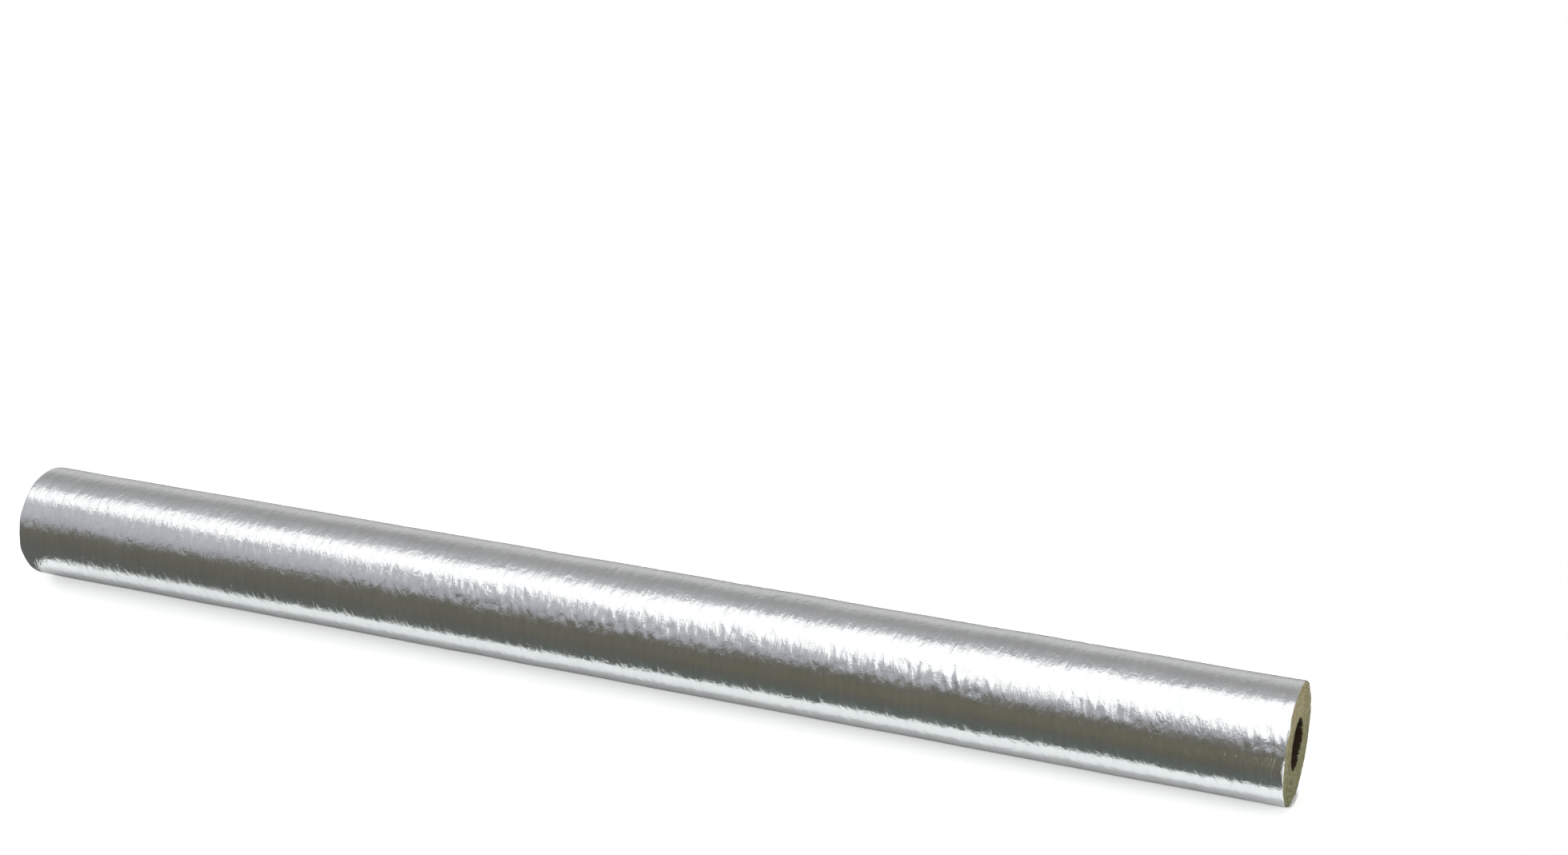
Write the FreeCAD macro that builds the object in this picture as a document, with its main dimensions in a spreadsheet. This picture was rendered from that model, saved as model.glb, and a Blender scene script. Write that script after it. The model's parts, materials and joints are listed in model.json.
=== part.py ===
"""Mineral wool pipe section: a slit wool shell with a bonded, lapped aluminium foil facing.

Row frame, in millimetres: +X runs along the bore, +Z is up, and the origin is the centre of the bore at
mid-length. The section lies on its side. The slit is on the +Y side and the hinge cut opposite it.
"""

import FreeCAD, Part
import os

import Sketcher

# The driving dimensions: alias, value in mm or degrees, and what it is.
SIZES = [
    ("section_length", 1200.0, "length of one section"),
    ("bore_diameter", 42.0, "outside diameter of the pipe that it fits"),
    ("wool_wall", 30.0, "insulation thickness"),
    ("slit_width", 1.0, "width of the saw cut through the whole wall"),
    ("hinge_cut_width", 1.0, "width of the cut that lets the shell open like a hinge"),
    ("hinge_cut_depth", 15.0, "depth of that cut into the wall, from the bore"),
    ("facing_thickness", 0.2, "reinforced foil with its adhesive"),
    ("lap_width", 45.0, "how far the facing laps over itself past the slit"),
    ("lap_rise_width", 3.0, "width over which the facing climbs onto the lap"),
    ("slit_elevation", 10.0, "angle of the slit above the horizontal, in degrees"),
]

# Expressions that several features share.
BORE_RADIUS = "sizes.bore_diameter / 2"
WOOL_RADIUS = f"({BORE_RADIUS} + sizes.wool_wall)"
FACED_RADIUS = f"({WOOL_RADIUS} + sizes.facing_thickness)"
LAPPED_RADIUS = f"({FACED_RADIUS} + sizes.facing_thickness)"
# The slit's half width, and the lap's two ends, as angles at the faced surface.
DEGREES_PER_MM = f"180 / (pi * {FACED_RADIUS})"
LAP_END_ANGLE = f"(sizes.slit_width / 2 + sizes.lap_width) * {DEGREES_PER_MM}"
LAP_START_ANGLE = f"sizes.slit_width / 2 * {DEGREES_PER_MM}"
RISE_START_ANGLE = f"(sizes.slit_width / 2 + sizes.lap_rise_width) * {DEGREES_PER_MM}"

ORIGIN = (-1, 1)  # Sketcher's name for its own origin point
X_AXIS = -1
START, END, CENTRE = 1, 2, 3


def make_sheet(doc):
    sheet = doc.addObject("Spreadsheet::Sheet", "sizes")
    for row, (alias, value, meaning) in enumerate(SIZES, start=1):
        sheet.set(f"A{row}", alias)
        sheet.set(f"B{row}", str(value))
        sheet.set(f"C{row}", meaning)
        sheet.setAlias(f"B{row}", alias)
    doc.recompute()
    return sheet


def make_body(doc, label):
    body = doc.addObject("PartDesign::Body", label)
    body.Label = label
    return body


def section_sketch(body, name):
    """A sketch across the bore: its x is the frame's +Y and its y is +Z."""
    sketch = body.newObject("Sketcher::SketchObject", name)
    plane = next(f for f in body.Origin.OriginFeatures if f.Role == "YZ_Plane")
    sketch.AttachmentSupport = [(plane, "")]
    sketch.MapMode = "FlatFace"
    return sketch


def constrain(sketch, *args):
    return sketch.addConstraint(Sketcher.Constraint(*args))


def bind(sketch, name, expression, kind, *args):
    """Adds a named dimension and ties it to the sheet."""
    index = constrain(sketch, kind, *args)
    sketch.renameConstraint(index, name)
    sketch.setExpression(f"Constraints.{name}", expression)


def add_ring(sketch, inner, outer):
    """Two circles about the bore's centre."""
    for name, radius, start_value in (("inner", inner, 21.0), ("outer", outer, 51.0)):
        circle = sketch.addGeometry(
            Part.Circle(FreeCAD.Vector(), FreeCAD.Vector(0, 0, 1), start_value), False
        )
        constrain(sketch, "Coincident", circle, CENTRE, *ORIGIN)
        bind(sketch, f"{name}_radius", radius, "Radius", circle, start_value)


def add_radial_cut(sketch, side, width, reach):
    """A rectangle from the bore's centre outwards, to the side of +1 or -1 along the sketch's x."""
    far, half = side * 60.0, 0.5
    corners = [(0, -half), (far, -half), (far, half), (0, half)]
    lines = []
    for here, there in zip(corners, corners[1:] + corners[:1]):
        line = Part.LineSegment(FreeCAD.Vector(*here, 0), FreeCAD.Vector(*there, 0))
        lines.append(sketch.addGeometry(line, False))
    low, end, high, back = lines
    for line, after in zip(lines, lines[1:] + lines[:1]):
        constrain(sketch, "Coincident", line, END, after, START)
    constrain(sketch, "Horizontal", low)
    constrain(sketch, "Horizontal", high)
    constrain(sketch, "Vertical", end)
    constrain(sketch, "Symmetric", back, START, back, END, *ORIGIN)
    bind(sketch, "width", width, "Distance", back, 2 * half)
    bind(sketch, "reach", reach, "Distance", low, abs(far))


def pad(body, name, sketch):
    feature = body.newObject("PartDesign::Pad", name)
    feature.Profile = sketch
    feature.SideType = "Symmetric"
    feature.setExpression("Length", "sizes.section_length")
    return feature


def cut_through(body, name, sketch):
    feature = body.newObject("PartDesign::Pocket", name)
    feature.Profile = sketch
    feature.SideType = "Symmetric"
    feature.Type = "ThroughAll"
    return feature


def turn_seam(body):
    """Both pieces are drawn with the slit on +Y, then turned about the bore to where the slit lies."""
    body.Placement = FreeCAD.Placement(
        FreeCAD.Vector(), FreeCAD.Rotation(FreeCAD.Vector(1, 0, 0), 1)
    )
    body.setExpression("Placement.Rotation.Angle", "sizes.slit_elevation")


def make_wool_shell(doc):
    body = make_body(doc, "wool_shell")
    section = section_sketch(body, "wool_section")
    add_ring(section, BORE_RADIUS, WOOL_RADIUS)
    pad(body, "wool_pad", section)

    slit = section_sketch(body, "wool_slit_section")
    add_radial_cut(slit, +1, "sizes.slit_width", f"{WOOL_RADIUS} * 1.2")
    cut_through(body, "wool_slit", slit)

    hinge = section_sketch(body, "hinge_cut_section")
    add_radial_cut(
        hinge, -1, "sizes.hinge_cut_width", f"{BORE_RADIUS} + sizes.hinge_cut_depth"
    )
    cut_through(body, "hinge_cut", hinge)
    turn_seam(body)
    return body


def add_lap_outline(sketch):
    """The second layer: from where the facing climbs, over the slit, to its free edge."""
    inner, outer = 51.2, 51.4
    rise_start, lap_start, lap_end = 3.9, 0.6, -50.9  # degrees, near the solved values

    def point(radius, angle):
        turned = FreeCAD.Rotation(FreeCAD.Vector(0, 0, 1), angle)
        return turned.multVec(FreeCAD.Vector(radius, 0, 0))

    def arc(radius, first, last):
        circle = Part.Circle(FreeCAD.Vector(), FreeCAD.Vector(0, 0, 1), radius)
        first, last = (FreeCAD.Units.Quantity(a, "deg").getValueAs("rad").Value for a in (first, last))
        return sketch.addGeometry(Part.ArcOfCircle(circle, first, last), False)

    def line(a, b, construction=False):
        return sketch.addGeometry(Part.LineSegment(a, b), construction)

    under = arc(inner, lap_end, rise_start)
    over = arc(outer, lap_end, lap_start)
    edge = line(point(inner, lap_end), point(outer, lap_end))
    rise = line(point(outer, lap_start), point(inner, rise_start))
    for layer in (under, over):
        constrain(sketch, "Coincident", layer, CENTRE, *ORIGIN)
    constrain(sketch, "Coincident", under, START, edge, START)
    constrain(sketch, "Coincident", over, START, edge, END)
    constrain(sketch, "Coincident", over, END, rise, START)
    constrain(sketch, "Coincident", under, END, rise, END)
    bind(sketch, "under_radius", FACED_RADIUS, "Radius", under, inner)
    bind(sketch, "over_radius", LAPPED_RADIUS, "Radius", over, outer)

    rays = (
        ("lap_end", LAP_END_ANGLE, over, START, lap_end),
        ("lap_start", LAP_START_ANGLE, over, END, lap_start),
        ("rise_start", RISE_START_ANGLE, under, END, rise_start),
    )
    for name, expression, layer, end, angle in rays:
        ray = line(FreeCAD.Vector(), point(inner, angle), True)
        constrain(sketch, "Coincident", ray, START, *ORIGIN)
        constrain(sketch, "Coincident", ray, END, layer, end)
        first, second = (ray, X_AXIS) if angle < 0 else (X_AXIS, ray)
        bind(sketch, f"{name}_angle", expression, "Angle", first, START, second, START, 1.0)
        if name == "lap_end":
            constrain(sketch, "PointOnObject", under, START, ray)


def make_foil_facing(doc):
    body = make_body(doc, "foil_facing")
    section = section_sketch(body, "facing_section")
    add_ring(section, WOOL_RADIUS, FACED_RADIUS)
    pad(body, "facing_pad", section)

    slit = section_sketch(body, "facing_slit_section")
    add_radial_cut(slit, +1, "sizes.slit_width", f"{WOOL_RADIUS} * 1.2")
    cut_through(body, "facing_slit", slit)

    lap = section_sketch(body, "lap_section")
    add_lap_outline(lap)
    pad(body, "lap_pad", lap)
    turn_seam(body)
    return body


def check(doc, bodies):
    for thing in doc.Objects:
        bad = {"Invalid", "Error"} & set(thing.State)
        if bad:
            raise RuntimeError(f"{thing.Label} is {bad}")
    for body in bodies:
        if body.Shape.isNull() or not body.Shape.isValid() or not body.Shape.Solids:
            raise RuntimeError(f"{body.Label} has no valid solid")


def main():
    doc = FreeCAD.newDocument("pipe_section")
    make_sheet(doc)
    bodies = [make_wool_shell(doc), make_foil_facing(doc)]
    doc.recompute()
    check(doc, bodies)
    os.makedirs("parts", exist_ok=True)
    for body in bodies:
        body.Shape.exportStep(f"parts/{body.Label}.step")
        box = body.Shape.BoundBox
        print(body.Label, len(body.Shape.Solids), round(body.Shape.Volume, 1), box)


main()
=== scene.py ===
"""A foil-faced mineral wool pipe section, lying on a pale floor.

The foil and the wool are remade as fine meshes inside the frame's own sizes: the foil with its wrinkles,
its lap and its cut ends, the wool with its fibrous end faces, its bore, its slit and its hinge cut.
Everything is in metres, in the frame's axes: +X along the bore, +Z up. Angles run from +Y towards +Z.
"""

import json
import math

import bmesh
import bpy
import numpy as np
from mathutils import Matrix, Vector


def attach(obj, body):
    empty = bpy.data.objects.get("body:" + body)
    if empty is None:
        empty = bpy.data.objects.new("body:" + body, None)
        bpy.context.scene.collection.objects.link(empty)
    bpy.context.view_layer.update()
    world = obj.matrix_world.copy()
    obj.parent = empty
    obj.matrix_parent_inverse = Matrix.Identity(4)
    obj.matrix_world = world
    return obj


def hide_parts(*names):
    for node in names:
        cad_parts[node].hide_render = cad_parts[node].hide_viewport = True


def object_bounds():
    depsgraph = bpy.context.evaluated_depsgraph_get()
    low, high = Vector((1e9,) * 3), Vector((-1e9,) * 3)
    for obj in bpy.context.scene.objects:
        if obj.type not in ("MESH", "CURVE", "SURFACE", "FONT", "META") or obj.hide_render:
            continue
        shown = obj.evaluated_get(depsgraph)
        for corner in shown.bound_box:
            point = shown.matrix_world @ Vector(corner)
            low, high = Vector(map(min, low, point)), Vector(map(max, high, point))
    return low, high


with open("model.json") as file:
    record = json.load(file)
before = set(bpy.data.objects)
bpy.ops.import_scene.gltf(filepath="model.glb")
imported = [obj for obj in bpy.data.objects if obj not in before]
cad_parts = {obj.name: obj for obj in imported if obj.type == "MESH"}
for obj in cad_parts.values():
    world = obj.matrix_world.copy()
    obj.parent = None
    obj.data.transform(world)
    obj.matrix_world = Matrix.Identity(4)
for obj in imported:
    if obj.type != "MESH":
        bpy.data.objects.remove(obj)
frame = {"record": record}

MM = 0.001
FULL_TURN = 2 * math.pi
FOIL_SEED, WOOL_SEED, FIBRE_SEED = 20, 21, 22

# Sizes that the frame gives.
cad_low, cad_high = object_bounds()
FLOOR_Z = cad_low.z
HALF_LENGTH = (cad_high.x - cad_low.x) / 2
mounts = {mount["name"]: mount for mount in frame["record"]["mounts"]}
BORE_RADIUS = mounts["bore"]["dims"]["r_mm"] * MM

# Sizes that the frame's facets don't give exactly, as they are in the part's own source.
WOOL_WALL = 30 * MM
WOOL_RADIUS = BORE_RADIUS + WOOL_WALL
FOIL_THICKNESS = 0.2 * MM
FACED_RADIUS = WOOL_RADIUS + FOIL_THICKNESS
SLIT_WIDTH = 1 * MM
SLIT_ANGLE = math.radians(10)
HINGE_CUT_WIDTH = 1 * MM
HINGE_CUT_DEPTH = 15 * MM
HINGE_CUT_RADIUS = BORE_RADIUS + HINGE_CUT_DEPTH
LAP_WIDTH = 45 * MM
LAP_RISE_END = 3 * MM  # from the slit's middle to where the lap meets the single foil


# Noise and meshes.

ANY_WAVE = 1e-6  # a wave length that lets every wave through along its own axis


def band_noise(rng, shape, spacing, waves, spread=0.35):
    """Smooth noise of unit spread on a grid that wraps both ways, its waves about as long as asked."""
    along = np.fft.fftfreq(shape[0], spacing[0])[:, None] * waves[0]
    across = np.fft.fftfreq(shape[1], spacing[1])[None, :] * waves[1]
    keep = np.exp(-(((np.hypot(along, across) - 1) / spread) ** 2))
    field = np.fft.ifft2(np.fft.fft2(rng.standard_normal(shape)) * keep).real
    return field / field.std()


def sample(field, rows, columns):
    """The field between its grid's points, wrapping both ways; rows and columns broadcast together."""
    rows, columns = np.broadcast_arrays(rows, columns)
    row, column = np.floor(rows).astype(int), np.floor(columns).astype(int)
    down, right = rows - row, columns - column
    row_next, column_next = (row + 1) % field.shape[0], (column + 1) % field.shape[1]
    row, column = row % field.shape[0], column % field.shape[1]
    near = field[row, column] * (1 - right) + field[row, column_next] * right
    far = field[row_next, column] * (1 - right) + field[row_next, column_next] * right
    return near * (1 - down) + far * down


def step(values, start, end):
    """0 before start, 1 after end, smooth between."""
    t = np.clip((values - start) / (end - start), 0, 1)
    return t * t * (3 - 2 * t)


def ring_points(places, angles, radius):
    """Points at each place along the bore and angle round it."""
    x = np.broadcast_to(places[:, None], radius.shape)
    return np.stack([x, radius * np.cos(angles), radius * np.sin(angles)], axis=-1)


def grid_faces(rows, columns, wrap=False, first=0):
    """Quads of a grid of points numbered row by row."""
    row = np.arange(rows - 1)[:, None] * columns
    column = np.arange(columns if wrap else columns - 1)[None, :]
    after = (column + 1) % columns
    quads = np.stack([row + column, row + columns + column, row + columns + after, row + after], axis=-1)
    return quads.reshape(-1, 4) + first


def make_mesh(name, points, quads, material, sharp_degrees=50):
    mesh = bpy.data.meshes.new(name)
    mesh.vertices.add(len(points))
    mesh.vertices.foreach_set("co", np.asarray(points, np.float32).ravel())
    mesh.loops.add(quads.size)
    mesh.loops.foreach_set("vertex_index", quads.astype(np.int32).ravel())
    mesh.polygons.add(len(quads))
    mesh.polygons.foreach_set("loop_start", np.arange(0, quads.size, 4, dtype=np.int32))
    mesh.update(calc_edges=True)
    mesh.validate()
    mesh.shade_smooth()
    mesh.set_sharp_from_angle(angle=math.radians(sharp_degrees))
    mesh.materials.append(material)
    thing = bpy.data.objects.new(name, mesh)
    bpy.context.scene.collection.objects.link(thing)
    return thing


# Materials.

class Nodes:
    """A node tree under construction: each call adds nodes, and links or sets their inputs."""

    def __init__(self, tree):
        self.tree = tree
        tree.nodes.clear()

    def feed(self, socket, value):
        if isinstance(value, bpy.types.NodeSocket):
            self.tree.links.new(value, socket)
        else:
            socket.default_value = value

    def node(self, kind, *inputs, settings=None, **named):
        """A new node; an underscore in an input's name stands for a space."""
        node = self.tree.nodes.new(kind)
        for key, value in (settings or {}).items():
            setattr(node, key, value)
        for place, value in enumerate(inputs):
            self.feed(node.inputs[place], value)
        for name, value in named.items():
            self.feed(node.inputs[name.replace("_", " ")], value)
        return node

    def add(self, kind, *inputs, out=0, **others):
        """One output of a new node."""
        return self.node(kind, *inputs, **others).outputs[out]

    def math(self, operation, *inputs):
        return self.add("ShaderNodeMath", *inputs, settings={"operation": operation})

    def hypotenuse(self, first, second):
        squares = [self.math("MULTIPLY", side, side) for side in (first, second)]
        return self.math("SQRT", self.math("ADD", *squares))

    def weighted(self, *parts):
        """The sum of (value, weight) pairs, each multiplied out."""
        terms = [self.math("MULTIPLY", value, weight) for value, weight in parts]
        total = terms[0]
        for term in terms[1:]:
            total = self.math("ADD", total, term)
        return total

    def spread(self, value, low, high, low_out=0.0, high_out=1.0, interpolation="LINEAR"):
        """value from low..high onto low_out..high_out, and no further."""
        return self.add("ShaderNodeMapRange", value, low, high, low_out, high_out,
                        settings={"interpolation_type": interpolation})

    def pattern(self, place, stretch=(1, 1, 1), scale=1.0, detail=2.0, roughness=0.5, distortion=0.0):
        """Noise over a place, whose three ways are each multiplied by a stretch first."""
        ways = [
            way if factor == 1 else self.math("MULTIPLY", way, factor)
            for way, factor in zip(place, stretch)
        ]
        vector = self.add("ShaderNodeCombineXYZ", *ways)
        return self.add("ShaderNodeTexNoise", Vector=vector, Scale=scale, Detail=detail,
                        Roughness=roughness, Distortion=distortion)

    def ramp(self, value, *stops):
        node = self.node("ShaderNodeValToRGB", value)
        elements = node.color_ramp.elements
        while len(elements) < len(stops):
            elements.new(0.5)
        for element, (place, colour) in zip(elements, stops):
            element.position = place
            element.color = (*colour, 1)
        return node.outputs[0]

    def blend(self, share, first, second):
        """first where share is 0 and second where it is 1, as colours."""
        node = self.node("ShaderNodeMix", settings={"data_type": "RGBA"})
        sockets = [socket for socket in node.inputs if socket.enabled]
        for socket, value in zip(sockets, (share, first, second)):
            self.feed(socket, value)
        return next(socket for socket in node.outputs if socket.enabled)

    def split(self, coordinates="Object"):
        """x, y and z of the object's own coordinates, or of others."""
        place = self.add("ShaderNodeTexCoord", out=coordinates)
        return self.node("ShaderNodeSeparateXYZ", place).outputs[:3]

    def unrolled(self):
        """(along the bore, around it, out from it) in metres.

        Around starts and ends at the slit, where a seam doesn't show.
        """
        x, y, z = self.split()
        out = self.hypotenuse(y, z)
        cos, sin = -math.cos(SLIT_ANGLE), -math.sin(SLIT_ANGLE)
        to_y = self.weighted((y, cos), (z, sin))
        to_z = self.math("SUBTRACT", self.math("MULTIPLY", z, cos), self.math("MULTIPLY", y, sin))
        around = self.math("MULTIPLY", self.math("ARCTAN2", to_z, to_y), out)
        return x, around, out


def new_material(name):
    material = bpy.data.materials.new(name)
    material.use_nodes = True
    return material, Nodes(material.node_tree)


# Stretches are along the bore, around it and out from it.
ROLLING_LINES = {"stretch": (1400.0, 25.0, 0.0), "detail": 3.0}
CRINKLE = {"stretch": (1, 0.45, 1), "scale": 170.0, "detail": 4.0, "roughness": 0.62, "distortion": 0.6}
MOTTLE = {"scale": 28.0, "detail": 3.0, "roughness": 0.55}
STREAKS = {"stretch": (240.0, 30.0, 1), "detail": 4.0, "roughness": 0.6}
LAYERS = {"stretch": (260.0, 60.0, 900.0), "detail": 5.0, "roughness": 0.6, "distortion": 0.4}
CLUMPS = {"stretch": (1, 0.5, 1), "scale": 190.0, "detail": 4.0, "roughness": 0.6, "distortion": 0.8}
FIBRES = {"stretch": (900.0, 420.0, 2600.0), "detail": 3.0, "roughness": 0.7, "distortion": 1.2}

# Noise lies mostly between these; a sum of noises lies closer to its middle.
NOISE_LOW, NOISE_MIDDLE, NOISE_HIGH = 0.3, 0.5, 0.7
SUM_LOW, SUM_HIGH = 0.36, 0.64

FOIL_DULL = (0.84, 0.85, 0.855)
FOIL_BRIGHT = (0.92, 0.925, 0.925)
MOTTLE_SHARE, STREAKS_SHARE = 0.4, 0.6
FOIL_SMOOTHEST, FOIL_ROUGHEST = 0.13, 0.2
LINES_SMOOTHER, LINES_ROUGHER = -0.02, 0.03
CRINKLE_HEIGHT = 0.75 * MM
LINES_HEIGHT = 0.006 * MM
THREAD_PITCH = 6 * MM
THREAD_HALF_WIDTH = 0.7 * MM
THREAD_HEIGHT = 0.014 * MM

WOOL_DARK = (0.18, 0.155, 0.08)
WOOL_MIDDLE = (0.41, 0.367, 0.215)
WOOL_PALE = (0.62, 0.57, 0.38)
LAYERS_SHARE, CLUMPS_SHARE, FIBRES_SHARE = 0.45, 0.35, 0.2
# Painted shade: the wool's colour is darker and greener low in the section.
WOOL_PAINTED_SHADE_TINT = (0.68, 0.75, 0.69)
WOOL_PAINTED_SHADE_REACH = 40 * MM  # how far below and above the middle the low tint fades
WOOL_PAINTED_SHADE_AT_BOTTOM, WOOL_PAINTED_SHADE_AT_TOP = 1.2, -0.2  # its share, past 1 and 0 to outweigh the clumps
# Painted shade: the wool's colour turns near-black brown next to the bore, for the shade inside it.
BORE_PAINTED_SHADE = (0.036, 0.023, 0.01, 1)
BORE_PAINTED_SHADE_START, BORE_PAINTED_SHADE_END = 0.2 * MM, 1.2 * MM
WOOL_ROUGHNESS = 0.95
WOOL_BUMP_STRENGTH = 0.8
LAYERS_HEIGHT, FIBRES_HEIGHT, CLUMPS_HEIGHT = 0.9 * MM, 0.35 * MM, 0.8 * MM


def foil_material():
    material, n = new_material("foil")
    place = n.unrolled()
    # Rolling lines run round the section, and the foil creases finely across them.
    lines, crinkle, mottle, streaks = (
        n.pattern(place, **kind) for kind in (ROLLING_LINES, CRINKLE, MOTTLE, STREAKS)
    )
    # The net of threads under the foil shows as a faint square relief.
    thread = n.math("MAXIMUM", *(
        n.spread(n.math("PINGPONG", way, THREAD_PITCH / 2), 0.0, THREAD_HALF_WIDTH, 1.0, 0.0)
        for way in place[:2]
    ))
    height = n.weighted((crinkle, CRINKLE_HEIGHT), (thread, THREAD_HEIGHT), (lines, LINES_HEIGHT))
    bump = n.add("ShaderNodeBump", Strength=1.0, Distance=1.0, Height=height)
    rough = n.math(
        "ADD",
        n.spread(mottle, NOISE_LOW, NOISE_HIGH, FOIL_SMOOTHEST, FOIL_ROUGHEST),
        n.spread(lines, NOISE_LOW, NOISE_HIGH, LINES_SMOOTHER, LINES_ROUGHER),
    )
    tone = n.weighted((mottle, MOTTLE_SHARE), (streaks, STREAKS_SHARE))
    colour = n.ramp(tone, (SUM_LOW, FOIL_DULL), (SUM_HIGH, FOIL_BRIGHT))
    shader = n.add("ShaderNodeBsdfPrincipled", Base_Color=colour, Metallic=1.0, Roughness=rough,
                   Normal=bump)
    n.node("ShaderNodeOutputMaterial", shader)
    return material


def wool_material():
    material, n = new_material("wool")
    place = n.unrolled()
    # The mat lies in thin layers wound round the bore, so everything is drawn out around it.
    layers, clumps, fibres = (n.pattern(place, **kind) for kind in (LAYERS, CLUMPS, FIBRES))
    tone = n.weighted((layers, LAYERS_SHARE), (clumps, CLUMPS_SHARE), (fibres, FIBRES_SHARE))
    colour = n.ramp(tone, (SUM_LOW, WOOL_DARK), (NOISE_MIDDLE, WOOL_MIDDLE), (SUM_HIGH, WOOL_PALE))
    # Painted shade: the wool is darker and greener low in the section, in uneven clumps.
    z = n.split()[2]
    low = n.spread(z, -WOOL_PAINTED_SHADE_REACH, WOOL_PAINTED_SHADE_REACH, WOOL_PAINTED_SHADE_AT_BOTTOM, WOOL_PAINTED_SHADE_AT_TOP)
    low = n.spread(n.math("ADD", low, n.math("SUBTRACT", clumps, NOISE_MIDDLE)), 0.0, 1.0)
    darker = n.add("ShaderNodeVectorMath", colour, WOOL_PAINTED_SHADE_TINT, settings={"operation": "MULTIPLY"})
    colour = n.blend(low, colour, darker)
    out = place[2]
    # Painted shade: near-black brown next to the bore, where shade falls inside it.
    skin = n.spread(out, BORE_RADIUS + BORE_PAINTED_SHADE_START, BORE_RADIUS + BORE_PAINTED_SHADE_END, 1.0, 0.0)
    colour = n.blend(skin, colour, BORE_PAINTED_SHADE)
    height = n.weighted((layers, LAYERS_HEIGHT), (fibres, FIBRES_HEIGHT), (clumps, CLUMPS_HEIGHT))
    bump = n.add("ShaderNodeBump", Strength=WOOL_BUMP_STRENGTH, Distance=1.0, Height=height)
    shader = n.add("ShaderNodeBsdfPrincipled", Base_Color=colour, Roughness=WOOL_ROUGHNESS, Normal=bump)
    n.node("ShaderNodeOutputMaterial", shader)
    return material


# The foil.

FOIL_ROWS = 680
FOIL_COLUMNS = 128
NEAR_FOIL_END = np.array([0, 0.3, 0.6, 0.9]) * MM  # rows that shape its curled ends
NEAR_LAP_EDGE = np.array([-0.9, -0.06, 0.06, 0.9]) * MM  # extra columns at the lap's free edge
NEAR_SLIT = np.array([-1.1, -0.5, 0, 0.5, 1.1, 3.1]) * MM  # extra columns at its rise over the slit
SEAM_MARGIN = math.pi / 64

# Waves are along the bore and around it, and relief heights are in mm.
FIELD_STEP = 1 * MM
FINE_WAVES, FINE_HEIGHT = (4.5 * MM, 13 * MM), 0.03
SHORT_WAVES, SHORT_HEIGHT = (7.5 * MM, 24 * MM), 0.08
LONG_WAVES, LONG_HEIGHT = (15 * MM, 60 * MM), 0.1
SWELL_WAVES, SWELL_HEIGHT = (90 * MM, 70 * MM), 0.13
PATCH_WAVES = (110 * MM, 80 * MM)
SMALL_CREASES, SMALL_CREASE_HEIGHT = (5 * MM, 9 * MM), 0.035
LARGE_CREASES, LARGE_CREASE_HEIGHT = (9 * MM, 16 * MM), 0.12
CREASE_RIDGE_HEIGHT = 0.05
CREASE_SPREAD = 0.5
CREASED_ANGLE = math.radians(150)
CREASED_HALF_WIDTH = math.radians(17)
MEAN_NOISE = 0.8  # the mean size of noise whose spread is 1
RIDGE_ROUNDING = 0.02
DENTS = 60
DENT_SIZES = (1.5, 3)
DENT_DEPTHS = (0.15, 0.45)

LAP_STIFFNESS = 0.4  # the share of its relief that the doubled foil of the lap loses
LAP_EDGE_SOFTNESS = 0.02 * MM
LAP_LIFT_REACH = 2.5 * MM
LAP_LIFT_LEAST, LAP_LIFT_MORE = 0.2, 0.4  # in mm, the second for each unit of its noise
LAP_LIFT_NOISE_MOST = 2
LAP_LIFT_STEP, LAP_LIFT_WAVE = 1.8 * MM, 90 * MM
LAP_LIFT_LINES = 8  # lines of noise made together, of which the first is used
GROOVE_DEPTH = 0.18 * MM
GROOVE_HALF_WIDTH = 0.8 * MM
OFF_WOOL = 0.02 * MM  # how far the foil's ends stay off the wool's true radius
SUNK_MOST = 0.6 * MM  # how much lower than that it may dip away from the ends
SUNK_START, SUNK_END = 2 * MM, 12 * MM
CURL_LENGTH = 1.3 * MM  # the cut ends of the foil curl in a little
CURL_DEPTH = 0.35 * MM
CUT_UNEVENNESS, CUT_STEP, CUT_WAVE = 0.25 * MM, 2.5 * MM, 30 * MM
LINING_DEPTH = 0.75 * MM  # below the wool's true radius, clear of the foil's deepest dip
LINING_START = 4 * MM


def ridges(rng, shape, spacing, waves):
    """Rounded ridges where smooth noise changes sign, about level on the whole."""
    return MEAN_NOISE - np.sqrt(band_noise(rng, shape, spacing, waves) ** 2 + RIDGE_ROUNDING)


def uneven(patches, middle, share, least, most):
    """A strength that varies about its middle with the patches."""
    return np.clip(middle + share * patches, least, most)


def from_left(along, least, start, end):
    """least before start and 1 after end, as shares of the length."""
    return least + (1 - least) * step(along, start, end)


def random_dent(rng, along, across, arc):
    """How deep one small round dent is over the foil, in mm."""
    place, height = rng.uniform(0, 2 * HALF_LENGTH), rng.uniform(0, arc)
    size, depth = rng.uniform(*DENT_SIZES) * MM, rng.uniform(*DENT_DEPTHS)
    gap = np.abs(across - height)
    gap = np.minimum(gap, arc - gap)
    return depth * np.exp(-((np.hypot(along - place, gap) / size) ** 2))


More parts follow.
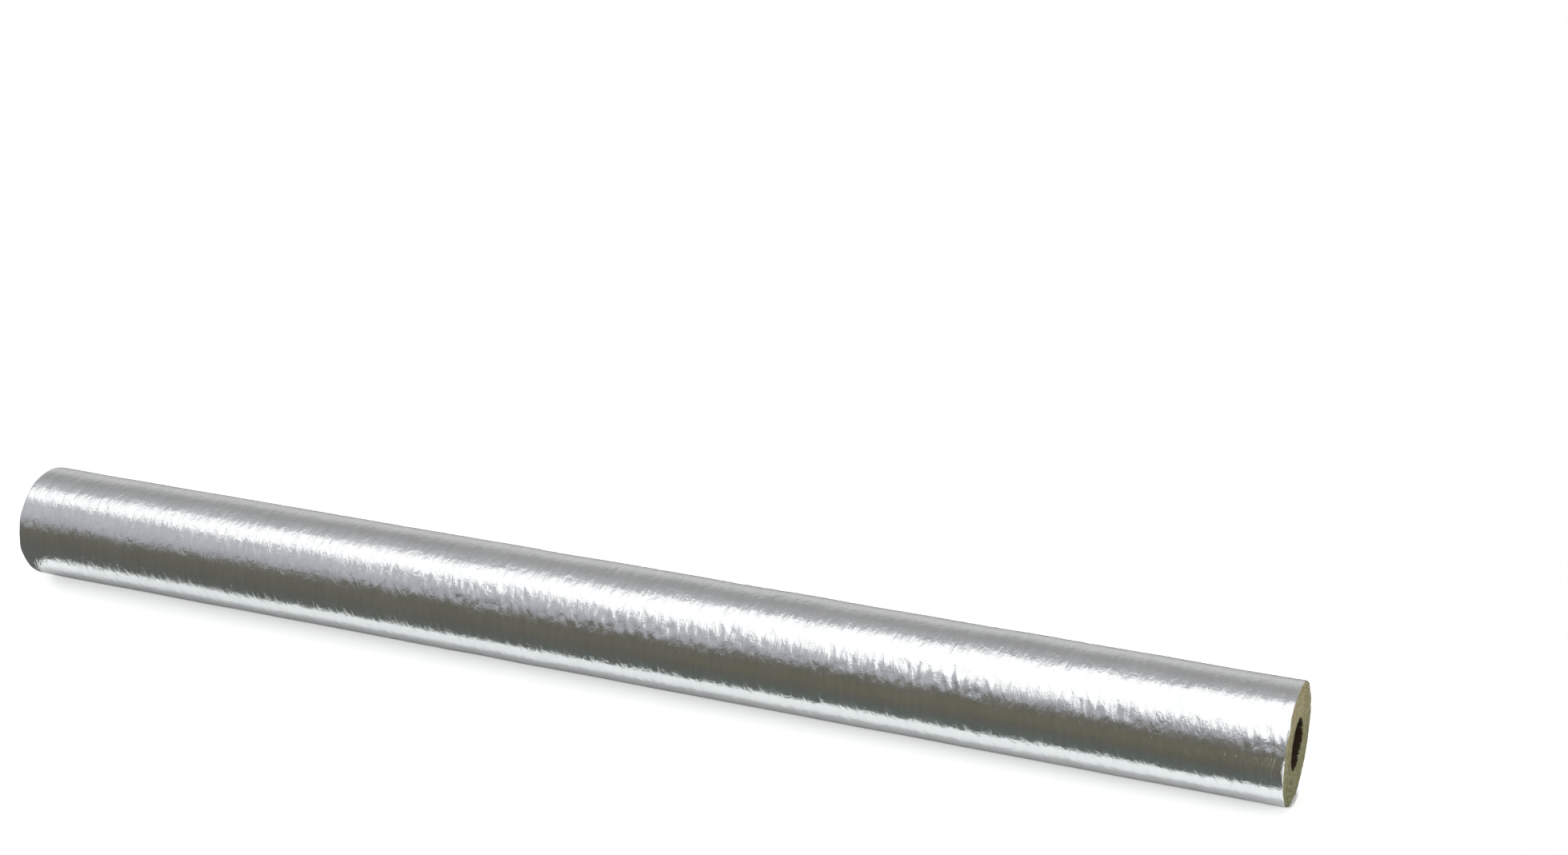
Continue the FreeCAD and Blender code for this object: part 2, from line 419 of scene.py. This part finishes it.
def foil_relief(rng, places, angles):
    """How far the foil stands off its true radius, at every place along the bore and angle round it."""
    arc = FULL_TURN * FACED_RADIUS
    shape = (round(2 * HALF_LENGTH / FIELD_STEP), round(arc / FIELD_STEP))
    spacing = (2 * HALF_LENGTH / shape[0], arc / shape[1])
    fine, short, long = (
        ridges(rng, shape, spacing, waves) for waves in (FINE_WAVES, SHORT_WAVES, LONG_WAVES)
    )
    swells = band_noise(rng, shape, spacing, SWELL_WAVES)
    patches = band_noise(rng, shape, spacing, PATCH_WAVES)
    along = np.linspace(0, 1, shape[0])[:, None]
    strength = uneven(patches, middle=0.8, share=0.3, least=0.3, most=1.5)
    strength = strength * from_left(along, least=0.5, start=0.05, end=0.35)
    relief = (FINE_HEIGHT * fine + SHORT_HEIGHT * short + LONG_HEIGHT * long) * strength
    relief = relief + SWELL_HEIGHT * swells
    # The foil is most creased in a strip that runs along the section, high on its front.
    turn = np.arange(shape[1])[None, :] / shape[1] * FULL_TURN
    strip = np.exp(-(((turn - CREASED_ANGLE) / CREASED_HALF_WIDTH) ** 2))
    strip = strip * from_left(along, least=0.25, start=0.1, end=0.6)
    strip = strip * uneven(patches, middle=1, share=0.4, least=0.3, most=1.8)
    small, large = (
        band_noise(rng, shape, spacing, waves, CREASE_SPREAD) for waves in (SMALL_CREASES, LARGE_CREASES)
    )
    creases = SMALL_CREASE_HEIGHT * small + LARGE_CREASE_HEIGHT * large + CREASE_RIDGE_HEIGHT * short
    relief = relief + creases * strip
    across = np.arange(shape[1])[None, :] * spacing[1]
    for _ in range(DENTS):
        relief = relief - random_dent(rng, along * 2 * HALF_LENGTH, across, arc)
    rows = (places + HALF_LENGTH) / spacing[0]
    columns = (angles % FULL_TURN) * FACED_RADIUS / spacing[1]
    return sample(relief, rows[:, None], columns[None, :]) * MM


def foil_places():
    """Places along the foil, even but for its curled ends."""
    even_rows = FOIL_ROWS - 2 * len(NEAR_FOIL_END)
    even = np.linspace(-HALF_LENGTH + CURL_LENGTH, HALF_LENGTH - CURL_LENGTH, even_rows)
    return np.concatenate([NEAR_FOIL_END - HALF_LENGTH, even, HALF_LENGTH - NEAR_FOIL_END[::-1]])


def foil_angles():
    """Angles round the foil, with extra ones where the lap needs them, and the lap's free edge."""
    edge = SLIT_ANGLE - (SLIT_WIDTH / 2 + LAP_WIDTH) / FACED_RADIUS
    even = edge + np.arange(FOIL_COLUMNS) / FOIL_COLUMNS * FULL_TURN
    at_edge = NEAR_LAP_EDGE / FACED_RADIUS + edge
    at_slit = NEAR_SLIT / FACED_RADIUS + SLIT_ANGLE
    spots = np.concatenate([even[1:], at_edge, at_slit])
    return np.sort((spots - edge + SEAM_MARGIN) % FULL_TURN) + edge - SEAM_MARGIN, edge


def foil_radius(rng, places, angles, edge):
    """The outer radius of the foil at every place and angle."""
    relief = foil_relief(rng, places, angles)
    past_edge = (angles - edge) * FACED_RADIUS
    to_slit = (angles - SLIT_ANGLE) * FACED_RADIUS
    on_lap = step(past_edge, -LAP_EDGE_SOFTNESS, LAP_EDGE_SOFTNESS)
    on_lap = on_lap * (1 - step(to_slit, SLIT_WIDTH / 2, LAP_RISE_END))
    radius = FACED_RADIUS + relief * (1 - LAP_STIFFNESS * on_lap) + on_lap * FOIL_THICKNESS
    # The lap's free edge lifts a little, unevenly, and the foil dips over the slit.
    lines = (FOIL_ROWS, LAP_LIFT_LINES)
    lift = band_noise(rng, lines, (LAP_LIFT_STEP, 1), (LAP_LIFT_WAVE, ANY_WAVE))[:, :1]
    lift = (LAP_LIFT_LEAST + LAP_LIFT_MORE * np.clip(lift, 0, LAP_LIFT_NOISE_MOST)) * MM
    near_edge = np.where(past_edge > 0, np.exp(-past_edge / LAP_LIFT_REACH), 0) * on_lap
    groove = np.exp(-((to_slit / GROOVE_HALF_WIDTH) ** 2))
    radius = radius + near_edge * lift - GROOVE_DEPTH * groove
    from_end = (HALF_LENGTH - np.abs(places))[:, None]
    least = WOOL_RADIUS + OFF_WOOL - SUNK_MOST * step(from_end, SUNK_START, SUNK_END)
    return np.maximum(radius, least) - CURL_DEPTH * np.clip(1 - from_end / CURL_LENGTH, 0, 1) ** 2


def rim_faces(first, second, count):
    """Quads between two rings of count points, given by their first points."""
    column = np.arange(count)
    after = (column + 1) % count
    return np.stack([first + column, first + after, second + after, second + column], axis=-1)


def make_foil(material):
    rng = np.random.default_rng(FOIL_SEED)
    places = foil_places()
    angles, edge = foil_angles()
    count = len(angles)
    radius = foil_radius(rng, places, angles, edge)
    outer = ring_points(places, angles, radius)
    lining_places = np.array([
        -HALF_LENGTH, -HALF_LENGTH + LINING_START, HALF_LENGTH - LINING_START, HALF_LENGTH
    ])
    lining_rows = len(lining_places)
    lining_radius = np.full((lining_rows, count), WOOL_RADIUS - LINING_DEPTH)
    for end in (0, -1):
        lining_radius[end] = radius[end] - FOIL_THICKNESS
    inner = ring_points(lining_places, angles, lining_radius)
    # The cuts aren't quite square.
    left, right = CUT_UNEVENNESS * band_noise(rng, (2, count), (1, CUT_STEP), (ANY_WAVE, CUT_WAVE))
    for skin in (outer, inner):
        skin[0, :, 0] = -HALF_LENGTH - left
        skin[-1, :, 0] = HALF_LENGTH + right
    points = np.concatenate([outer.reshape(-1, 3), inner.reshape(-1, 3)])
    points[:, 2] = np.maximum(points[:, 2], FLOOR_Z)
    quads = np.concatenate([
        grid_faces(FOIL_ROWS, count, wrap=True),
        grid_faces(lining_rows, count, wrap=True, first=FOIL_ROWS * count)[:, ::-1],
        rim_faces(0, FOIL_ROWS * count, count),
        rim_faces((FOIL_ROWS - 1) * count, (FOIL_ROWS + lining_rows - 1) * count, count)[:, ::-1],
    ])
    foil = make_mesh("foil_wrap", points, quads, material)
    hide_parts("foil_facing")
    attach(foil, "root")


# The wool.

WOOL_RINGS = 44
HALF_COLUMNS = 150
WOOL_EDGE_GAP = 0.05 * MM  # how far the wool stops short of its true radius
WOOL_ROWS_FROM_END = np.array([0, 0.4, 1, 1.8, 3, 5, 8, 12, 18, 26, 40, 60, 100, 160, 250, 400]) * MM

# Relief: wave lengths and heights in mm, out from the bore and around it for the end faces.
FACE_RELIEF = ((1.3, 9, 0.22), (2.8, 16, 0.26), (6, 8, 0.26), (0.9, 2.2, 0.12))
FACE_GRID = (160, 1280)
RELIEF_STEP = 0.25 * MM
RELIEF_SPACING = (RELIEF_STEP, RELIEF_STEP)
FACE_SPREAD, WALL_SPREAD = 0.5, 0.6
WALL_GRID = (800, 528)
COARSE_WALL, COARSE_WALL_HEIGHT = (9 * MM, 5 * MM), 0.1
FINE_WALL, FINE_WALL_HEIGHT = (2.5 * MM, 2 * MM), 0.06
SINK_MEAN, SINK_LEAST, SINK_MOST, EDGE_SINK = 0.25, -0.1, 1.2, 0.5
UNDER_FOIL_AT_END, UNDER_FOIL_MORE = 0.5, 0.5
EDGE_SINK_REACH = 0.5 * MM
END_REACH = 6 * MM
BORE_SKIN_REACH = 1 * MM
OUTER_REACH = 2 * MM
UNDER_FOIL_REACH = 4 * MM
NO_EDGE_NEAR = 1.0  # a distance to a cut edge that has no effect
JOIN_DISTANCE = 1e-6


class WoolRelief:
    """The wool's uneven surfaces, as smooth noise drawn out round the bore."""

    def __init__(self, rng):
        self.faces = [
            sum(
                height * band_noise(rng, FACE_GRID, RELIEF_SPACING, (out * MM, around * MM), FACE_SPREAD)
                for out, around, height in FACE_RELIEF
            )
            for _ in range(2)
        ]
        self.walls = (
            COARSE_WALL_HEIGHT * band_noise(rng, WALL_GRID, RELIEF_SPACING, COARSE_WALL, WALL_SPREAD)
            + FINE_WALL_HEIGHT * band_noise(rng, WALL_GRID, RELIEF_SPACING, FINE_WALL, WALL_SPREAD)
        )

    def place(self, x, radius, angle, edge):
        """The point at x, radius and angle, moved by the relief; edge is its distance to a cut edge."""
        from_end = HALF_LENGTH - np.abs(x)
        ring = (radius - BORE_RADIUS) / RELIEF_STEP
        column = (angle % FULL_TURN) / FULL_TURN * FACE_GRID[1]
        near, far = (sample(face, ring, column) for face in self.faces)
        # The cut ends are rough, and worn back along their edges.
        sink = np.clip(np.where(x > 0, far, near) + SINK_MEAN, SINK_LEAST, SINK_MOST)
        sink = sink + EDGE_SINK * np.exp(-edge / EDGE_SINK_REACH)
        sink = sink * (1 - step(from_end, 0, END_REACH))
        # The bore is uneven, and the outside stays clear of the foil's lining.
        wall = np.abs(sample(self.walls, x / RELIEF_STEP, angle * BORE_RADIUS / RELIEF_STEP))
        at_bore = np.exp(-(radius - BORE_RADIUS) / BORE_SKIN_REACH)
        outside = step(radius, WOOL_RADIUS - OUTER_REACH, WOOL_RADIUS)
        under_foil = UNDER_FOIL_AT_END + UNDER_FOIL_MORE * step(from_end, 0, UNDER_FOIL_REACH)
        under_foil = under_foil * outside
        return x - np.sign(x) * sink * MM, radius + (wall * at_bore - under_foil) * MM


def wool_radii():
    """The rings of the wool, one of them moved to the hinge cut's end, and that ring's number."""
    radii = np.linspace(BORE_RADIUS, WOOL_RADIUS - WOOL_EDGE_GAP, WOOL_RINGS)
    cut_ring = int(np.argmin(np.abs(radii - HINGE_CUT_RADIUS)))
    radii[cut_ring] = HINGE_CUT_RADIUS
    return radii, cut_ring


class WoolShell:
    """Two half shells that meet beyond the hinge cut, built as patches whose edges coincide."""

    def __init__(self, relief):
        self.relief = relief
        self.radii, self.cut_ring = wool_radii()
        self.shares = np.linspace(0, 1, HALF_COLUMNS + 1)
        self.points, self.quads, self.total = [], [], 0

    def add_patch(self, rings, columns, x_values, half, flip):
        """One face of the half shell, as a grid over two of rings, columns and places."""
        ring, column, x = np.meshgrid(rings, columns, x_values, indexing="ij")
        shape = [size for size in ring.shape if size > 1]
        radius, in_cut = self.radii[ring], ring < self.cut_ring
        slit = np.arcsin(SLIT_WIDTH / 2 / radius)
        hinge = np.where(in_cut, np.arcsin(HINGE_CUT_WIDTH / 2 / radius), 0)
        last = math.pi - hinge
        turn = slit + (last - slit) * self.shares[column]
        to_slit = (turn - slit) * radius
        to_hinge = np.where(in_cut, (last - turn) * radius, NO_EDGE_NEAR)
        edge = np.minimum(np.minimum(to_slit, to_hinge), radius - BORE_RADIUS)
        angle = SLIT_ANGLE + half * turn
        x, radius = self.relief.place(x, radius, angle, edge)
        points = np.stack([x, radius * np.cos(angle), radius * np.sin(angle)], axis=-1).reshape(-1, 3)
        faces = grid_faces(*shape, first=self.total)
        self.points.append(points)
        self.quads.append(faces[:, ::-1] if flip != (half < 0) else faces)
        self.total += len(points)

    def add_half(self, half):
        """The half shell's two ends, its bore, its outside, its face in the slit and that in the cut."""
        rings, columns = np.arange(WOOL_RINGS), np.arange(HALF_COLUMNS + 1)
        from_end = WOOL_ROWS_FROM_END
        places = np.concatenate([from_end - HALF_LENGTH, [0.0], HALF_LENGTH - from_end[::-1]])
        self.add_patch(rings, columns, places[:1], half, False)
        self.add_patch(rings, columns, places[-1:], half, True)
        self.add_patch(rings[:1], columns, places, half, False)
        self.add_patch(rings[-1:], columns, places, half, True)
        self.add_patch(rings, columns[:1], places, half, True)
        self.add_patch(rings[:self.cut_ring + 1], columns[-1:], places, half, False)


def join_seams(thing):
    """Joins the points that neighbouring patches share."""
    work = bmesh.new()
    work.from_mesh(thing.data)
    bmesh.ops.remove_doubles(work, verts=work.verts, dist=JOIN_DISTANCE)
    bmesh.ops.recalc_face_normals(work, faces=work.faces)
    work.to_mesh(thing.data)
    work.free()


def make_wool(material):
    shell = WoolShell(WoolRelief(np.random.default_rng(WOOL_SEED)))
    for half in (1, -1):
        shell.add_half(half)
    wool = make_mesh("wool_body", np.concatenate(shell.points), np.concatenate(shell.quads), material)
    join_seams(wool)
    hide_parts("wool_shell")
    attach(wool, "root")


FIBRES_PER_END = 2600
FIBRE_POINTS = 5
FIBRE_SIDES = 3
FIBRE_LENGTHS = (2, 9)  # in mm, as the other fibre sizes are
FIBRE_HALF_THICKNESSES = (0.03, 0.06)
FIBRE_HEADING_SPREAD = 0.5  # in radians, off the way round the bore
FIBRE_BEND_SPREAD = 90  # in radians for each metre of fibre
FIBRE_LIFT = 0.35
FIBRE_REST = -0.2
FIBRE_UNEVENNESS = 0.06
FIBRE_TIP = 0.35  # how thick its tips are, as a share of its middle
PAST_BORE_EDGE = 0.3 * MM


def make_fibres(material):
    """Loose fibres that lie on the cut ends, mostly round the bore, each a thin three-sided thread."""
    rng = np.random.default_rng(FIBRE_SEED)
    count = 2 * FIBRES_PER_END
    end = np.repeat([-1.0, 1.0], FIBRES_PER_END)
    radius = np.sqrt(rng.uniform(BORE_RADIUS ** 2, WOOL_RADIUS ** 2, count))
    angle = rng.uniform(0, FULL_TURN, count)
    heading = rng.normal(0, FIBRE_HEADING_SPREAD, count)
    bend = rng.normal(0, FIBRE_BEND_SPREAD, count)
    length = rng.uniform(*FIBRE_LENGTHS, count) * MM
    lift = np.abs(rng.normal(0, FIBRE_LIFT, count)) * MM
    thick = rng.uniform(*FIBRE_HALF_THICKNESSES, count) * MM
    t = np.linspace(0, 1, FIBRE_POINTS)[None, :]
    arch = np.sin(math.pi * t)
    # Each fibre's line on the face, from its middle.
    way = heading[:, None] + bend[:, None] * length[:, None] * (t - 0.5)
    run = length[:, None] / (FIBRE_POINTS - 1)
    across = np.cumsum(np.cos(way) * run, axis=1)
    outward = np.cumsum(np.sin(way) * run, axis=1)
    across -= across.mean(axis=1, keepdims=True)
    outward -= outward.mean(axis=1, keepdims=True)
    out = np.clip(radius[:, None] + outward, BORE_RADIUS - PAST_BORE_EDGE, WOOL_RADIUS)
    turn = angle[:, None] + across / radius[:, None]
    waver = rng.normal(0, FIBRE_UNEVENNESS, (count, FIBRE_POINTS)) * MM
    x = end[:, None] * (HALF_LENGTH + FIBRE_REST * MM + lift[:, None] * arch + waver)
    spine = np.stack([x, out * np.cos(turn), out * np.sin(turn)], axis=-1)
    # Its three-sided tube round that line.
    side = np.arange(FIBRE_SIDES) / FIBRE_SIDES * FULL_TURN
    taper = (thick[:, None] * (FIBRE_TIP + (1 - FIBRE_TIP) * arch))[..., None]
    off_out = taper * np.sin(side)
    points = np.repeat(spine[:, :, None, :], FIBRE_SIDES, axis=2)
    points[..., 0] += taper * np.cos(side)
    points[..., 1] += off_out * np.cos(turn)[..., None]
    points[..., 2] += off_out * np.sin(turn)[..., None]
    one = grid_faces(FIBRE_POINTS, FIBRE_SIDES, wrap=True)
    starts = np.arange(count) * FIBRE_POINTS * FIBRE_SIDES
    quads = (one[None, :, :] + starts[:, None, None]).reshape(-1, 4)
    fibres = make_mesh("wool_fibres", points.reshape(-1, 3), quads, material, sharp_degrees=180)
    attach(fibres, "root")


# The stage.

STAGE_REACH = 12.0
WHITE = (1, 1, 1, 1)

# The floor, by how far it is from under the section; past its ends that counts several times over.
FLOOR_COLOUR = (0.8, 0.8, 0.8, 1)
FLOOR_BOUNCE = (0.45, 0.45, 0.44, 1)
PAST_END_WEIGHT = 6.0
# Painted contact shadow: the floor's glow, and the shine that only glossy rays see, stay low close under
# the section.
GLOW_START, GLOW_END = 11 * MM, 16 * MM
GLOW_IN_PAINTED_SHADOW, GLOW_BESIDE = 0.04, 0.53
SHINE_START, SHINE_END = 39 * MM, 45 * MM
SHINE_BESIDE = 0.36
SHINE_COLOUR = (0.88, 1.0, 0.96, 1)
FAR_START, FAR_END = 0.25, 1.1

# The pale table's edges, as the foil shows them.
TABLE_FRONT = 68.5 * MM
TABLE_BACK = 75 * MM
TABLE_LEFT = HALF_LENGTH + 6 * MM
TABLE_RIGHT = HALF_LENGTH + 700 * MM
CORNER_LEFT = HALF_LENGTH + 20 * MM
CORNER_FRONT = 500 * MM
DARK_HEIGHT = 0.5 * MM
DARK_NEAR, DARK_FAR = 0.08, 0.28
DARK_SHADES = (
    (0.0, (0.11, 0.13, 0.118)),
    (0.25, (0.118, 0.117, 0.098)),
    (0.75, (0.15, 0.141, 0.104)),
)
DARK_LEFT = (0.116, 0.118, 0.106, 1)
DARK_LEFT_SHARE = 0.6
DARK_LEFT_START, DARK_LEFT_END = -0.6, 0.45
GREY_BEHIND = (0.5, 0.5, 0.5, 1)
GREY_START, GREY_END = 0.3, 0.45

SOFT_BOX_HEIGHT = 1.7
SOFT_BOX_STRENGTH = 1.16
# Each station's place along the section, then the panel's near and far edges there.
SOFT_BOX_STATIONS = ((-2.6, -0.385, 0.02), (-0.9, -1.3, 0.18), (0.2, -2.8, 0.36), (1.5, -3.6, 0.5))

# The room, by the angle over the section from low in front to low behind, in degrees.
ROOM = (
    (9, (0.14, 0.135, 0.115)),
    (24, (0.41, 0.42, 0.45)),
    (45, (0.49, 0.5, 0.53)),
    (100, (0.49, 0.5, 0.53)),
    (128, (0.34, 0.34, 0.34)),
    (142, (0.34, 0.34, 0.34)),
    (165, (0.6, 0.6, 0.6)),
)

FILL_SIDE = 1.5
FILL_RIGHT_PLACE, FILL_RIGHT_POWER = (3.0, -0.8, 0.8), 34.0
FILL_LEFT_PLACE, FILL_LEFT_POWER = (-3.0, 0.8, 0.8), 26.0

CAMERA_PLACE = (0.9137, -1.7927, 1.0557)
CAMERA_HEADING = math.radians(22.73)
CAMERA_DOWN = math.radians(23.51)
CAMERA_ROLL = math.radians(-1.13)
CAMERA_LENS = 59.1
CAMERA_SENSOR = 36.0


def floor_material():
    material, n = new_material("floor")
    path = n.node("ShaderNodeLightPath").outputs
    direct = n.math("MAXIMUM", path["Is Camera Ray"], path["Is Transmission Ray"])
    seen = n.math("MAXIMUM", direct, path["Is Glossy Ray"])
    # Near the section the floor is matt, with a glow that fades under it as a painted contact shadow;
    # far away it is plain white.
    x, y = (n.math("ABSOLUTE", way) for way in n.split()[:2])
    past_end = n.math("MAXIMUM", n.math("SUBTRACT", x, HALF_LENGTH), 0.0)
    away = n.hypotenuse(n.math("MULTIPLY", past_end, PAST_END_WEIGHT), y)
    glow = n.math("MULTIPLY", direct, n.spread(away, GLOW_START, GLOW_END, GLOW_IN_PAINTED_SHADOW, GLOW_BESIDE))
    # The tinted shine that only glossy rays see is left out close under the section, as a painted shadow
    # in the foil's reflection.
    shine = n.spread(away, SHINE_START, SHINE_END, 0.0, SHINE_BESIDE)
    shine = n.math("MULTIPLY", path["Is Glossy Ray"], shine)
    # Light that the floor gives back to the section is weaker than its own colour would make it.
    colour = n.blend(path["Is Diffuse Ray"], FLOOR_COLOUR, FLOOR_BOUNCE)
    matt = n.add("ShaderNodeBsdfDiffuse", Color=colour)
    near = n.add("ShaderNodeAddShader", matt, n.add("ShaderNodeEmission", Color=WHITE, Strength=glow))
    shine = n.add("ShaderNodeEmission", Color=SHINE_COLOUR, Strength=shine)
    near = n.add("ShaderNodeAddShader", near, shine)
    white = n.add("ShaderNodeEmission", Color=WHITE, Strength=1.0)
    far = n.math("MULTIPLY", seen, n.spread(away, FAR_START, FAR_END, interpolation="SMOOTHSTEP"))
    n.node("ShaderNodeOutputMaterial", n.add("ShaderNodeMixShader", far, near, white))
    return material


def flat_sheets(sheets, height):
    """Points and quads of level rectangles, each from x0 to x1 and y0 to y1."""
    points = [
        (x, y, height)
        for x0, x1, y0, y1 in sheets
        for x, y in ((x0, y0), (x1, y0), (x1, y1), (x0, y1))
    ]
    return np.array(points), np.arange(len(points)).reshape(-1, 4)


def make_floor():
    reach = STAGE_REACH
    points, quads = flat_sheets([(-reach, reach, -reach, reach)], FLOOR_Z)
    make_mesh("floor", points, quads, floor_material())


def hide_from(thing, *rays):
    for ray in rays:
        setattr(thing, f"visible_{ray}", False)


def make_dark_surround():
    """The dark room beyond the pale table that the section lies on, seen only in the foil."""
    reach = STAGE_REACH
    # The table shows in a strip along the section, and in all of the corner to the right of it.
    sheets = (
        (-reach, reach, -reach, -CORNER_FRONT),
        (-reach, CORNER_LEFT, -CORNER_FRONT, -TABLE_FRONT),
        (TABLE_RIGHT, reach, -CORNER_FRONT, reach),
        (-reach, -TABLE_LEFT, -TABLE_FRONT, reach),
        (-TABLE_LEFT, TABLE_RIGHT, TABLE_BACK, reach),
    )
    material, n = new_material("dark_surround")
    x, y, _ = n.split()
    away = n.spread(n.math("MULTIPLY", y, -1.0), DARK_NEAR, DARK_FAR)
    to_left = n.spread(x, DARK_LEFT_START, DARK_LEFT_END, DARK_LEFT_SHARE, 0.0)
    colour = n.blend(to_left, n.ramp(away, *DARK_SHADES), DARK_LEFT)
    colour = n.blend(n.spread(y, GREY_START, GREY_END), colour, GREY_BEHIND)
    n.node("ShaderNodeOutputMaterial", n.add("ShaderNodeEmission", Color=colour, Strength=1.0))
    card = make_mesh("dark_surround", *flat_sheets(sheets, FLOOR_Z + DARK_HEIGHT), material)
    hide_from(card, "camera", "diffuse", "transmission", "volume_scatter", "shadow")


def make_soft_box():
    """The lit panel overhead, wider to the right, as its reflection in the foil is."""
    points = np.array([
        (x, y, SOFT_BOX_HEIGHT) for x, near, far in SOFT_BOX_STATIONS for y in (far, near)
    ])
    material, n = new_material("soft_box")
    light = n.add("ShaderNodeEmission", Color=WHITE, Strength=SOFT_BOX_STRENGTH)
    n.node("ShaderNodeOutputMaterial", light)
    panel = make_mesh("soft_box", points, grid_faces(len(SOFT_BOX_STATIONS), 2), material)
    hide_from(panel, "camera", "shadow")


def make_world():
    """A room that is dark low in front, and grey above and behind; the camera sees it white."""
    world = bpy.data.worlds.new("studio")
    bpy.context.scene.world = world
    world.use_nodes = True
    n = Nodes(world.node_tree)
    _, y, z = n.split("Generated")
    over = n.math("DIVIDE", n.math("ARCTAN2", z, n.math("MULTIPLY", y, -1.0)), math.pi)
    colour = n.ramp(over, *((angle / 180, shade) for angle, shade in ROOM))
    room = n.add("ShaderNodeBackground", colour, 1.0)
    white = n.add("ShaderNodeBackground", WHITE, 1.0)
    camera = n.add("ShaderNodeLightPath", out="Is Camera Ray")
    n.node("ShaderNodeOutputWorld", n.add("ShaderNodeMixShader", camera, room, white))


def make_fill(name, place, power):
    """A soft lamp low off one end, so that the cut end isn't lost in shade."""
    light = bpy.data.lights.new(name, "AREA")
    light.shape = "RECTANGLE"
    light.size = FILL_SIDE
    light.size_y = FILL_SIDE
    light.energy = power
    lamp = bpy.data.objects.new(name, light)
    lamp.location = place
    lamp.rotation_mode = "QUATERNION"
    lamp.rotation_quaternion = (-Vector(place)).to_track_quat("-Z", "Y")
    lamp.visible_glossy = False
    bpy.context.scene.collection.objects.link(lamp)


def make_camera():
    data = bpy.data.cameras.new("camera")
    data.sensor_width = CAMERA_SENSOR
    data.lens = CAMERA_LENS
    camera = bpy.data.objects.new("camera", data)
    turn = (
        Matrix.Rotation(CAMERA_HEADING, 4, "Z")
        @ Matrix.Rotation(math.pi / 2 - CAMERA_DOWN, 4, "X")
        @ Matrix.Rotation(CAMERA_ROLL, 4, "Z")
    )
    camera.matrix_world = Matrix.Translation(CAMERA_PLACE) @ turn
    bpy.context.scene.collection.objects.link(camera)
    bpy.context.scene.camera = camera


def main():
    bpy.context.scene.view_settings.view_transform = "Standard"
    make_foil(foil_material())
    wool = wool_material()
    make_wool(wool)
    make_fibres(wool)
    make_floor()
    make_dark_surround()
    make_soft_box()
    make_world()
    make_fill("fill_right", FILL_RIGHT_PLACE, FILL_RIGHT_POWER)
    make_fill("fill_left", FILL_LEFT_PLACE, FILL_LEFT_POWER)
    make_camera()


main()
